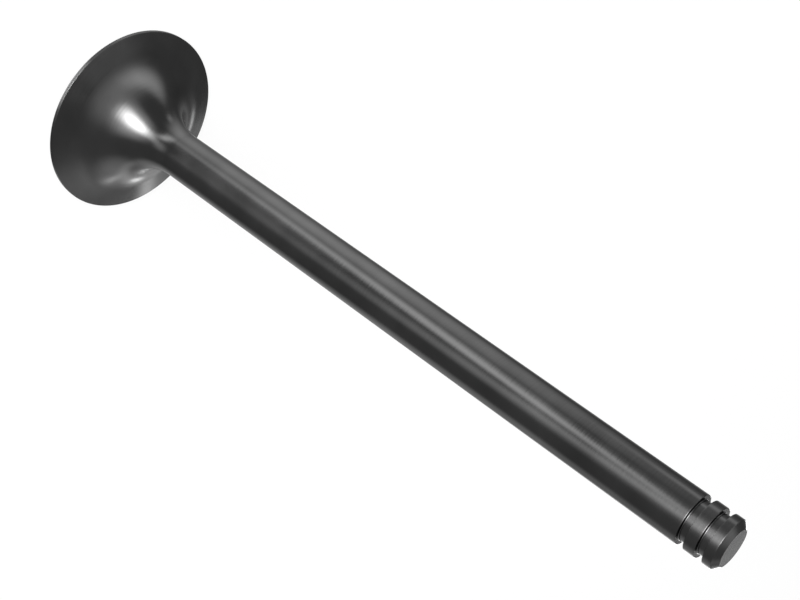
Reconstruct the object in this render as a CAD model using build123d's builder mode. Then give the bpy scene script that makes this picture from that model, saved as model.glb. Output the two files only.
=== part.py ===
"""Poppet valve of a piston engine, forged, turned and ground from one bar. Millimetres.

The valve stands on its flat combustion face with the stem straight up. +Z runs from the
head to the tip, and the origin is the centre of the combustion face.
"""

import os
from math import cos, isclose, radians, sin, tan

from build123d import *

# Stem
stem_diameter = 7.0
overall_length = 113.1  # combustion face to tip face

# Head
head_diameter = 29.8
margin_height = 0.65  # straight band around the edge of the head
margin_chamfer = 0.1  # between the margin and the combustion face

# Underhead: a shallow cone that rises from the margin, blended into the stem
underhead_angle = 18.0  # of the cone, above the plane of the head
neck_radius = 12.0  # of the blend, in the half section
least_cone_width = 1.5  # beside the margin, where the head closes on its seat

# Tip
tip_face_diameter = 5.27
tip_chamfer_length = 0.7

# Keeper grooves, counted from the tip
groove_count = 2
groove_width = 1.1
groove_depth = 0.65
groove_pitch = 2.65
tip_to_first_groove = 1.87  # from the tip face to the nearer wall of the first groove
groove_corner_radius = 0.1  # at the foot of each groove wall
land_edge_radius = 0.07  # on the ground stem's edges, at the grooves and the tip chamfer

head_radius = head_diameter / 2
stem_radius = stem_diameter / 2
tip_face_radius = tip_face_diameter / 2
groove_floor_radius = stem_radius - groove_depth

# The blend stops short of the margin, whatever the sizes
cone_slope = radians(underhead_angle)
blend_width = head_radius - stem_radius - least_cone_width
blend_radius = min(neck_radius, blend_width / (1 - sin(cone_slope)))

# Where the blend leaves the cone, and where it reaches the straight stem
blend_foot_radius = stem_radius + blend_radius * (1 - sin(cone_slope))
blend_foot_height = margin_height + (head_radius - blend_foot_radius) * tan(cone_slope)
neck_top = blend_foot_height + blend_radius * cos(cone_slope)

# Heights of the middle of each keeper groove
groove_heights = [
    overall_length - tip_to_first_groove - groove_width / 2 - index * groove_pitch
    for index in range(groove_count)
]

with BuildPart() as valve:
    # Half section of the blank, from the combustion face round to the tip
    with BuildSketch(Plane.XZ) as blank_section:
        with BuildLine():
            Polyline(
                (0, 0),
                (head_radius - margin_chamfer, 0),
                (head_radius, margin_chamfer),
                (head_radius, margin_height),
                (blend_foot_radius, blend_foot_height),
            )
            JernArc((stem_radius, neck_top), (0, -1), blend_radius, 90 - underhead_angle)
            Polyline(
                (stem_radius, neck_top),
                (stem_radius, overall_length - tip_chamfer_length),
                (tip_face_radius, overall_length),
                (0, overall_length),
                (0, 0),
            )
        make_face()
    revolve(axis=Axis.Z)

    # The beads of the keepers sit in these square grooves
    with BuildSketch(Plane.XZ) as groove_section:
        for height in groove_heights:
            with Locations((groove_floor_radius, height)):
                Rectangle(stem_diameter, groove_width, align=(Align.MIN, Align.CENTER))
        fillet(groove_section.vertices().group_by(Axis.X)[0], groove_corner_radius)
    revolve(axis=Axis.Z, mode=Mode.SUBTRACT)

    # The ground stem's edges are just rounded, past the one where the blend runs into it
    stem_edges = (
        valve.edges()
        .filter_by(GeomType.CIRCLE)
        .filter_by(lambda edge: isclose(edge.radius, stem_radius))
        .sort_by(Axis.Z)
    )
    fillet(stem_edges[1:], land_edge_radius)

valve.part.label = "valve"

os.makedirs("parts", exist_ok=True)
export_step(valve.part, "parts/valve.step")
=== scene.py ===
"""Engine valve: the finish, floor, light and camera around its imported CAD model.

The valve is one piece, turned about +Z. It stands on its combustion face with the tip up.
"""

import logging
from dataclasses import dataclass, field
from math import cos, pi, radians, sin, tan
from typing import Any

import bpy
from mathutils import Matrix, Quaternion, Vector


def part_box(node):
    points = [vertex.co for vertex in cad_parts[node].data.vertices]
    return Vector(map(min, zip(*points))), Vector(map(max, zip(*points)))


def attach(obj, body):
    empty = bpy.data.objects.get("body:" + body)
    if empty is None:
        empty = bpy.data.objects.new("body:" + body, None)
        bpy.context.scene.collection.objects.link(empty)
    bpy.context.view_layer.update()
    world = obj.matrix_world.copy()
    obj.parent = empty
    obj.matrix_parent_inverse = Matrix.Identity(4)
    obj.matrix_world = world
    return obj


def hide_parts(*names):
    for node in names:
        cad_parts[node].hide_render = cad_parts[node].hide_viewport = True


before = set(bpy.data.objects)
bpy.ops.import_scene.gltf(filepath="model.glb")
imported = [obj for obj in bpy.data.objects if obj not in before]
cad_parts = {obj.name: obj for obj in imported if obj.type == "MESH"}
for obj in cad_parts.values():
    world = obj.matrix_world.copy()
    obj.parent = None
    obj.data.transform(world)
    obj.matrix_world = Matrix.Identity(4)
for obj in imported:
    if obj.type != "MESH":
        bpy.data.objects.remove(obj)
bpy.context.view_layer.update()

MM = 0.001
WHITE = (1.0, 1.0, 1.0, 1.0)
log = logging.getLogger("valve")


def linear(code: str) -> tuple[float, float, float, float]:
    """Turns an sRGB hex colour into a linear one, by the curve that sRGB is defined with.

    Args:
        code: six hex digits after a hash sign.

    Returns:
        Red, green, blue and an alpha of 1.
    """
    shares = [int(code[start:start + 2], 16) / 255 for start in (1, 3, 5)]
    red, green, blue = (
        share / 12.92 if share <= 0.04045 else ((share + 0.055) / 1.055) ** 2.4 for share in shares
    )
    return red, green, blue, 1.0


def add_node(
    tree: bpy.types.NodeTree,
    kind: str,
    inputs: dict[str | int, Any] | None = None,
    **settings: Any,
) -> bpy.types.Node:
    """Adds a node to a tree with its settings and its links.

    Args:
        tree: the tree that it goes into.
        kind: the node's type, as Blender names it.
        inputs: for each input, by name or place, a value or another node's output.
        settings: the node's own properties.

    Returns:
        The new node.
    """
    node = tree.nodes.new(kind)
    for name, value in settings.items():
        setattr(node, name, value)
    for key, value in (inputs or {}).items():
        if isinstance(value, bpy.types.NodeSocket):
            tree.links.new(value, node.inputs[key])
        else:
            node.inputs[key].default_value = value
    return node


def calculate(
    tree: bpy.types.NodeTree, operation: str, *values: Any, kind: str = "ShaderNodeMath"
) -> bpy.types.NodeSocket:
    """Adds a node that works out one value from one or two others.

    Args:
        tree: the tree that it goes into.
        operation: what the node does, as Blender names it.
        values: the numbers, or other nodes' outputs, in their order.
        kind: the node's type, as Blender names it.

    Returns:
        The node's first output.
    """
    return add_node(tree, kind, dict(enumerate(values)), operation=operation).outputs[0]


@dataclass(frozen=True)
class Corner:
    """A corner of the half section, in millimetres: its place, its rounding and that one's steps."""

    radius: float
    height: float
    rounding: float = 0.0
    steps: int = 1


@dataclass(frozen=True)
class NitridedSteel:
    """Valve steel, turned and centreless ground, nitrided in a salt bath and polished.

    The nitride layer is almost black and keeps a metal's reflections. The polish leaves a satin
    that is a little uneven from place to place, over fine grinding lines that run round the axis.
    Real lines lie about 0.02 mm apart, so they are drawn coarser here, as coarse as they need to
    show. Lengths are in millimetres.
    """

    dark_colour: str = "#2a2a2a"
    pale_colour: str = "#313131"
    edge_tint: float = 0.5  # at a grazing angle, where 1 would be white
    roughness: float = 0.2
    roughness_spread: float = 0.025
    patch_size: float = 7.0
    patch_detail: float = 5.0
    patch_range: tuple[float, float] = (0.3, 0.7)  # of the noise, from the dark to the pale colour
    line_spacing: float = 0.35
    line_detail: float = 2.0
    line_depth: float = 0.006
    line_wander: float = 0.02  # the share of X and Y in the lines' place

    def material(self) -> bpy.types.Material:
        """Makes the material.

        Returns:
            The material, which reads Object coordinates.
        """
        made = bpy.data.materials.new("nitrided_valve_steel")
        made.use_nodes = True
        tree = made.node_tree
        tree.nodes.clear()
        place = add_node(tree, "ShaderNodeTexCoord").outputs["Object"]

        # Patches of slightly paler and rougher satin
        patches = add_node(
            tree,
            "ShaderNodeTexNoise",
            {"Vector": place, "Scale": 1 / (self.patch_size * MM), "Detail": self.patch_detail},
        )
        darkest, palest = self.patch_range
        share = add_node(
            tree,
            "ShaderNodeMapRange",
            {"Value": patches.outputs[0], "From Min": darkest, "From Max": palest},
        ).outputs[0]
        colour = add_node(
            tree,
            "ShaderNodeMix",
            {0: share, 6: linear(self.dark_colour), 7: linear(self.pale_colour)},
            data_type="RGBA",
        )
        satin = add_node(
            tree,
            "ShaderNodeMapRange",
            {
                "Value": share,
                "To Min": self.roughness - self.roughness_spread,
                "To Max": self.roughness + self.roughness_spread,
            },
        )

        # Fine grinding lines round the axis
        lines = add_node(
            tree,
            "ShaderNodeTexNoise",
            {
                "Vector": self.round_axis(tree, place),
                "Scale": 1 / (self.line_spacing * MM),
                "Detail": self.line_detail,
            },
        )
        relief = add_node(
            tree,
            "ShaderNodeBump",
            {"Height": lines.outputs[0], "Distance": self.line_depth * MM, "Strength": 1.0},
        )
        shader = add_node(
            tree,
            "ShaderNodeBsdfPrincipled",
            {
                "Base Color": colour.outputs[2],
                "Metallic": 1.0,
                "Roughness": satin.outputs[0],
                "Specular Tint": (self.edge_tint, self.edge_tint, self.edge_tint, 1.0),
                "Normal": relief.outputs[0],
            },
        )
        add_node(tree, "ShaderNodeOutputMaterial", {"Surface": shader.outputs["BSDF"]})
        return made

    def round_axis(
        self, tree: bpy.types.NodeTree, place: bpy.types.NodeSocket
    ) -> bpy.types.NodeSocket:
        """Turns a place into one that is almost the same all round the axis, for lines round it.

        Args:
            tree: the material's tree.
            place: the Object coordinates.

        Returns:
            The radius and the height as a vector, with a small share of X and Y so that the
            lines wander.
        """
        parts = add_node(tree, "ShaderNodeSeparateXYZ", {0: place}).outputs
        across = add_node(tree, "ShaderNodeCombineXYZ", {"X": parts["X"], "Y": parts["Y"]})
        radius = add_node(
            tree, "ShaderNodeVectorMath", {0: across.outputs[0]}, operation="LENGTH"
        ).outputs["Value"]
        section = add_node(tree, "ShaderNodeCombineXYZ", {"X": radius, "Z": parts["Z"]})
        wander = add_node(
            tree,
            "ShaderNodeVectorMath",
            {0: across.outputs[0], "Scale": self.line_wander},
            operation="SCALE",
        )
        return calculate(
            tree, "ADD", section.outputs[0], wander.outputs[0], kind="ShaderNodeVectorMath"
        )


@dataclass
class Valve:
    """The valve, in millimetres. Its height and its head's width come from the frame."""

    node: str = "valve"
    stem_diameter: float = 7.0
    margin_height: float = 0.65
    margin_chamfer: float = 0.1
    underhead_angle: float = 18.0
    neck_radius: float = 12.0
    tip_face_diameter: float = 5.27
    tip_chamfer_length: float = 0.7
    groove_count: int = 2
    groove_width: float = 1.1
    groove_depth: float = 0.65
    groove_pitch: float = 2.65
    tip_to_first_groove: float = 1.87
    groove_corner_radius: float = 0.1
    land_edge_radius: float = 0.07
    margin_edge_radius: float = 0.04
    steps_round: int = 288
    neck_steps: int = 64
    edge_steps: int = 5
    support_gap: float = 0.02
    weld_distance: float = 0.0005
    finish: NitridedSteel = field(default_factory=NitridedSteel)

    def __post_init__(self) -> None:
        """Reads the height and the head's radius from the frame."""
        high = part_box(self.node)[1]
        self.length = high.z / MM
        self.head_radius = high.x / MM

    def corners(self) -> list[Corner]:
        """Lists the half section's corners, from the combustion face's centre round to the tip's.

        Returns:
            The corners in order. Each end is on the axis.
        """
        stem = self.stem_diameter / 2
        floor = stem - self.groove_depth
        cone_slope = tan(radians(self.underhead_angle))
        neck_corner = self.margin_height + (self.head_radius - stem) * cone_slope
        margin = (self.margin_edge_radius, self.edge_steps)
        land = (self.land_edge_radius, self.edge_steps)
        foot = (self.groove_corner_radius, self.edge_steps)
        section = [
            Corner(0, 0),
            Corner(self.head_radius - self.margin_chamfer, 0, *margin),
            Corner(self.head_radius, self.margin_chamfer, *margin),
            Corner(self.head_radius, self.margin_height, *margin),
            Corner(stem, neck_corner, self.neck_radius, self.neck_steps),
        ]
        first = self.length - self.tip_to_first_groove
        for index in reversed(range(self.groove_count)):
            top = first - index * self.groove_pitch
            bottom = top - self.groove_width
            section += [
                Corner(stem, bottom, *land),
                Corner(floor, bottom, *foot),
                Corner(floor, top, *foot),
                Corner(stem, top, *land),
            ]
        return section + [
            Corner(stem, self.length - self.tip_chamfer_length, *land),
            Corner(self.tip_face_diameter / 2, self.length, *margin),
            Corner(0, self.length),
        ]

    def supported(self) -> list[Corner]:
        """Adds a plain point on each side of each rounding, so that flats shade as flats.

        Returns:
            The corners with the points between them.
        """
        corners = self.corners()
        result = [corners[0]]
        for before, corner, after in zip(corners, corners[1:], corners[2:]):
            here = Vector((corner.radius, corner.height))
            back = Vector((before.radius, before.height)) - here
            ahead = Vector((after.radius, after.height)) - here
            turn = pi - back.angle(ahead)
            reach = corner.rounding * tan(turn / 2) + self.support_gap
            result.append(Corner(*(here + back.normalized() * reach)))
            result.append(corner)
            result.append(Corner(*(here + ahead.normalized() * reach)))
        return result + [corners[-1]]

    def half_section(self) -> bpy.types.Object:
        """Draws the half section as a line of vertices that carry each corner's rounding.

        Returns:
            An object whose mesh is that line, in metres, in the XZ plane.
        """
        corners = self.supported()
        mesh = bpy.data.meshes.new(self.node + "_section")
        places = [(corner.radius * MM, 0, corner.height * MM) for corner in corners]
        mesh.from_pydata(places, [(i, i + 1) for i in range(len(corners) - 1)], [])
        rounding = mesh.attributes.new("rounding", "FLOAT", "POINT")
        rounding.data.foreach_set("value", [corner.rounding * MM for corner in corners])
        steps = mesh.attributes.new("steps", "INT", "POINT")
        steps.data.foreach_set("value", [corner.steps for corner in corners])
        section = bpy.data.objects.new(self.node + "_section", mesh)
        bpy.context.scene.collection.objects.link(section)
        return section

    def build(self) -> bpy.types.Object:
        """Turns the half section about the axis and dresses the result.

        Returns:
            The finished piece, which stands for the CAD node.
        """
        section = self.half_section()
        lathe = section.modifiers.new("lathe", "NODES")
        lathe.node_group = lathe_tree()
        given = {
            "Steps round": self.steps_round,
            "Weld distance": self.weld_distance * MM,
            "Material": self.finish.material(),
        }
        for socket in lathe.node_group.interface.items_tree:
            if socket.name in given:
                lathe[socket.identifier] = given[socket.name]
        depsgraph = bpy.context.evaluated_depsgraph_get()
        mesh = bpy.data.meshes.new_from_object(section.evaluated_get(depsgraph))
        section.modifiers.remove(lathe)
        bpy.data.objects.remove(section)
        mesh.name = self.node + "_turned"
        piece = bpy.data.objects.new("turned_valve", mesh)
        bpy.context.scene.collection.objects.link(piece)
        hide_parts(self.node)
        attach(piece, "root")
        return piece


def lathe_tree() -> bpy.types.NodeTree:
    """Makes the Geometry Nodes tree that turns a line in the XZ plane about the Z axis.

    Returns:
        The tree. Its inputs are the line, the steps round the axis, the weld distance and the
        material.
    """
    tree = bpy.data.node_groups.new("lathe", "GeometryNodeTree")
    inputs = {
        "Line": "NodeSocketGeometry",
        "Steps round": "NodeSocketInt",
        "Weld distance": "NodeSocketFloat",
        "Material": "NodeSocketMaterial",
    }
    for name, kind in inputs.items():
        tree.interface.new_socket(name, in_out="INPUT", socket_type=kind)
    tree.interface.new_socket("Solid", in_out="OUTPUT", socket_type="NodeSocketGeometry")
    given = add_node(tree, "NodeGroupInput").outputs

    # The line, with its corners rounded
    line = add_node(tree, "GeometryNodeMeshToCurve", {"Mesh": given["Line"]})
    rounding, steps = (
        add_node(tree, "GeometryNodeInputNamedAttribute", {"Name": name}, data_type=kind)
        for name, kind in (("rounding", "FLOAT"), ("steps", "INT"))
    )
    rounded = add_node(
        tree,
        "GeometryNodeFilletCurve",
        {
            "Curve": line.outputs[0],
            "Count": steps.outputs[0],
            "Radius": rounding.outputs[0],
            "Limit Radius": True,
        },
        mode="POLY",
    ).outputs[0]
    size = add_node(tree, "GeometryNodeAttributeDomainSize", {0: rounded}, component="CURVE")

    # A grid with one row for each point of the line, and one column for each step and the seam
    whole = "FunctionNodeIntegerMath"
    columns = calculate(tree, "ADD", given["Steps round"], 1, kind=whole)
    grid = add_node(
        tree,
        "GeometryNodeMeshGrid",
        {"Vertices X": size.outputs["Point Count"], "Vertices Y": columns},
    )
    index = add_node(tree, "GeometryNodeInputIndex").outputs[0]
    row = calculate(tree, "DIVIDE", index, columns, kind=whole)
    column = calculate(tree, "MODULO", index, columns, kind=whole)

    # Each vertex goes to its row's point, turned by its column's angle
    place = add_node(tree, "GeometryNodeInputPosition").outputs[0]
    sample = add_node(
        tree,
        "GeometryNodeSampleIndex",
        {"Geometry": rounded, "Value": place, "Index": row},
        data_type="FLOAT_VECTOR",
    )
    point = add_node(tree, "ShaderNodeSeparateXYZ", {0: sample.outputs[0]}).outputs
    turns = calculate(tree, "DIVIDE", column, given["Steps round"])
    angle = calculate(tree, "MULTIPLY", turns, 2 * pi)
    across, along = (
        calculate(tree, "MULTIPLY", point["X"], calculate(tree, wave, angle))
        for wave in ("COSINE", "SINE")
    )
    turned = add_node(tree, "ShaderNodeCombineXYZ", {0: across, 1: along, 2: point["Z"]})
    shell = add_node(
        tree,
        "GeometryNodeSetPosition",
        {"Geometry": grid.outputs["Mesh"], "Position": turned.outputs[0]},
    )

    # The seam and the two poles close
    welded = add_node(
        tree,
        "GeometryNodeMergeByDistance",
        {"Geometry": shell.outputs[0], "Distance": given["Weld distance"]},
    )
    smooth = add_node(tree, "GeometryNodeSetShadeSmooth", {"Geometry": welded.outputs[0]})
    real = add_node(tree, "GeometryNodeRealizeInstances", {"Geometry": smooth.outputs[0]})
    dressed = add_node(
        tree,
        "GeometryNodeSetMaterial",
        {"Geometry": real.outputs[0], "Material": given["Material"]},
    )
    add_node(tree, "NodeGroupOutput", {"Solid": dressed.outputs[0]})
    return tree


@dataclass(frozen=True)
class Lamp:
    """A soft box far from the valve, brightest in the middle and fading to its edges.

    Its heading is counted from the camera's side of the valve towards +X, and its heading,
    elevation, width, height and turn about its own middle are in degrees, as the valve sees them.
    Radiance is how bright its middle is, where the floor's white is 1. Distance and aim, a height
    on the valve's axis, are in metres.
    """

    name: str
    heading: float
    elevation: float
    width: float
    height: float
    radiance: float
    turn: float = 0.0
    distance: float = 3.0
    aim: float = 0.03
    falloff: float = 2.0  # the power that steepens the fade

    def hang(self) -> bpy.types.Object:
        """Adds the lamp to the scene, turned towards its aim.

        Returns:
            The lamp, which the camera doesn't see.
        """
        data = bpy.data.lights.new(self.name, "AREA")
        data.shape = "RECTANGLE"
        data.size, data.size_y = (
            2 * self.distance * tan(radians(angle) / 2) for angle in (self.width, self.height)
        )
        data.energy = self.radiance * pi * data.size * data.size_y
        self.soften(data)
        lamp = bpy.data.objects.new(self.name, data)
        bpy.context.scene.collection.objects.link(lamp)
        heading, rise = radians(self.heading), radians(self.elevation)
        away = Vector((sin(heading) * cos(rise), -cos(heading) * cos(rise), sin(rise)))
        lamp.location = Vector((0, 0, self.aim)) + away * self.distance
        lamp.rotation_mode = "QUATERNION"
        level = away.to_track_quat("Z", "Y")
        lamp.rotation_quaternion = level @ Quaternion((0, 0, 1), radians(self.turn))
        lamp.visible_camera = False
        return lamp

    def soften(self, data: bpy.types.AreaLight) -> None:
        """Fades the lamp's face from 1 in the middle to 0 at the edges.

        Args:
            data: the lamp's light. Its face counts from 0 to 1 each way.
        """
        data.use_nodes = True
        tree = data.node_tree
        tree.nodes.clear()
        place = add_node(tree, "ShaderNodeNewGeometry").outputs["Parametric"]
        shares = add_node(tree, "ShaderNodeSeparateXYZ", {0: place})
        fade: bpy.types.NodeSocket | float = 1.0
        for way in ("X", "Y"):
            # A share times the rest is a quarter in the middle, so 4 brings it to 1
            share = shares.outputs[way]
            rest = calculate(tree, "SUBTRACT", 1.0, share)
            hump = calculate(tree, "MULTIPLY", share, rest)
            tall = calculate(tree, "MULTIPLY", hump, 4.0)
            fade = calculate(tree, "MULTIPLY", tall, fade)
        strength = calculate(tree, "POWER", fade, self.falloff)
        glow = add_node(tree, "ShaderNodeEmission", {"Color": WHITE, "Strength": strength})
        add_node(tree, "ShaderNodeOutputLight", {"Surface": glow.outputs[0]})


@dataclass(frozen=True)
class Viewpoint:
    """Where the camera stands and looks, in millimetres. Its roll is in degrees."""

    place: tuple[float, float, float] = (0.0, -155.547, 147.273)
    target: tuple[float, float, float] = (-1.2, 0.0, 58.365)
    roll: float = 125.2565
    lens: float = 59.835
    sensor_width: float = 36.0
    nearest: float = 10.0
    farthest: float = 20000.0

    def set_camera(self) -> bpy.types.Object:
        """Sets the camera, which looks down past the tip, rolled so that the stem slants.

        Returns:
            The camera.
        """
        data = bpy.data.cameras.new("camera")
        data.sensor_fit = "HORIZONTAL"
        data.sensor_width = self.sensor_width
        data.lens = self.lens
        data.clip_start = self.nearest * MM
        data.clip_end = self.farthest * MM
        camera = bpy.data.objects.new("camera", data)
        bpy.context.scene.collection.objects.link(camera)
        place = Vector(self.place) * MM
        target = Vector(self.target) * MM
        level = (target - place).to_track_quat("-Z", "Y").to_matrix()
        turned = level @ Matrix.Rotation(radians(self.roll), 3, "Z")
        camera.matrix_world = Matrix.Translation(place) @ turned.to_4x4()
        bpy.context.scene.camera = camera
        return camera


@dataclass
class Studio:
    """A white floor and world, with soft lamps all round. Lengths are in metres.

    The dark metal mostly mirrors the white world, and the lamps add the highlights, streaks and
    pale bands. The low lamps stand under the floor and shine through it.
    """

    world_glow: float = 1.0
    floor_width: float = 6.0
    floor_drop: float = 0.05 * MM
    floor_glow: float = 0.9
    floor_colour: str = "#868686"
    # Name, heading, elevation, width, height, radiance
    lamps: tuple[Lamp, ...] = (
        # The main highlight on the underhead: its core, its glow and its foot
        Lamp("key", 0, 28, 42, 62, 46, turn=9),
        Lamp("key_core", 8, 13, 42, 54, 24, turn=-7),
        Lamp("key_halo", 5, 25, 95, 78, 9.6),
        Lamp("key_foot", 6, -9, 55, 26, 5.6, turn=-18),
        # From below, for the pale bands along the stem
        Lamp("low_front", -19, -24, 47, 22, 11.5, turn=30),
        Lamp("low_left", -38, -33, 27, 35, 5.6, turn=-20),
        Lamp("low_right", 22, -24, 47, 30, 3.5, turn=-9),
        Lamp("low_side", -89, -36, 90, 54, 5.8),
        # From far below, for the margin
        Lamp("under", 7, -65, 69, 36, 8.6),
        Lamp("under_strip", 6, -55, 50, 14, 60),
        # From the side and from above
        Lamp("side", -96, 38, 37, 83, 6.3, turn=-20),
        Lamp("side_strip", -93, -12, 30, 12, 4.5),
        Lamp("top_left", -37, 67, 94, 73, 3.2),
        # From behind, for the streaks beside the neck
        Lamp("back", 161, -2, 91, 24, 5.6, turn=6),
        Lamp("back_right", 147, 5, 99, 55, 3.8, turn=-23),
        Lamp("back_spot", 163, -5, 9, 9, 45),
        Lamp("back_dot", 169, 9, 7, 8, 32),
        Lamp("back_slit", 146, 12, 7, 30, 13),
        Lamp("back_left", -171, 0, 12, 8, 24),
        Lamp("back_low", 126, -26, 47, 58, 3.8, turn=34),
        Lamp("back_top", 153, 36, 54, 24, 3, turn=-29),
    )

    def floor(self) -> bpy.types.Object:
        """Lays the white floor just under the combustion face.

        Its white shows the valve's soft shadow to the camera. In the valve's reflections the
        world's white stands in its place.

        Returns:
            The floor.
        """
        half = self.floor_width / 2
        mesh = bpy.data.meshes.new("floor")
        outline = ((-half, -half), (half, -half), (half, half), (-half, half))
        mesh.from_pydata([(x, y, -self.floor_drop) for x, y in outline], [], [(0, 1, 2, 3)])
        floor = bpy.data.objects.new("floor", mesh)
        bpy.context.scene.collection.objects.link(floor)
        floor.visible_glossy = False
        floor.visible_shadow = False
        mesh.materials.append(self.floor_paint())
        return floor

    def floor_paint(self) -> bpy.types.Material:
        """Makes matt white studio paint, which also glows, but only to the camera.

        Returns:
            The material.
        """
        paint = bpy.data.materials.new("white_floor")
        paint.use_nodes = True
        tree = paint.node_tree
        tree.nodes.clear()
        seen = add_node(tree, "ShaderNodeLightPath").outputs["Is Camera Ray"]
        share = calculate(tree, "MULTIPLY", seen, self.floor_glow)
        matt = add_node(tree, "ShaderNodeBsdfDiffuse", {"Color": linear(self.floor_colour)})
        glow = add_node(tree, "ShaderNodeEmission", {"Color": WHITE, "Strength": 1.0})
        surface = add_node(
            tree, "ShaderNodeMixShader", {0: share, 1: matt.outputs[0], 2: glow.outputs[0]}
        )
        add_node(tree, "ShaderNodeOutputMaterial", {"Surface": surface.outputs[0]})
        return paint

    def world(self) -> None:
        """Sets a white world."""
        world = bpy.data.worlds.new("studio")
        world.use_nodes = True
        tree = world.node_tree
        tree.nodes.clear()
        glow = add_node(
            tree, "ShaderNodeBackground", {"Color": WHITE, "Strength": self.world_glow}
        )
        add_node(tree, "ShaderNodeOutputWorld", {"Surface": glow.outputs[0]})
        bpy.context.scene.world = world


def main() -> None:
    """Builds the valve and the studio."""
    logging.basicConfig(level=logging.INFO, format="%(name)s: %(message)s")
    piece = Valve().build()
    counts = len(piece.data.vertices), len(piece.data.polygons)
    log.info("%s: %d vertices, %d faces", piece.name, *counts)
    studio = Studio()
    studio.floor()
    studio.world()
    for lamp in studio.lamps:
        lamp.hang()
    Viewpoint().set_camera()
    scene = bpy.context.scene
    scene.view_settings.view_transform = "Standard"
    bpy.context.view_layer.update()


if __name__ == "__main__":
    main()
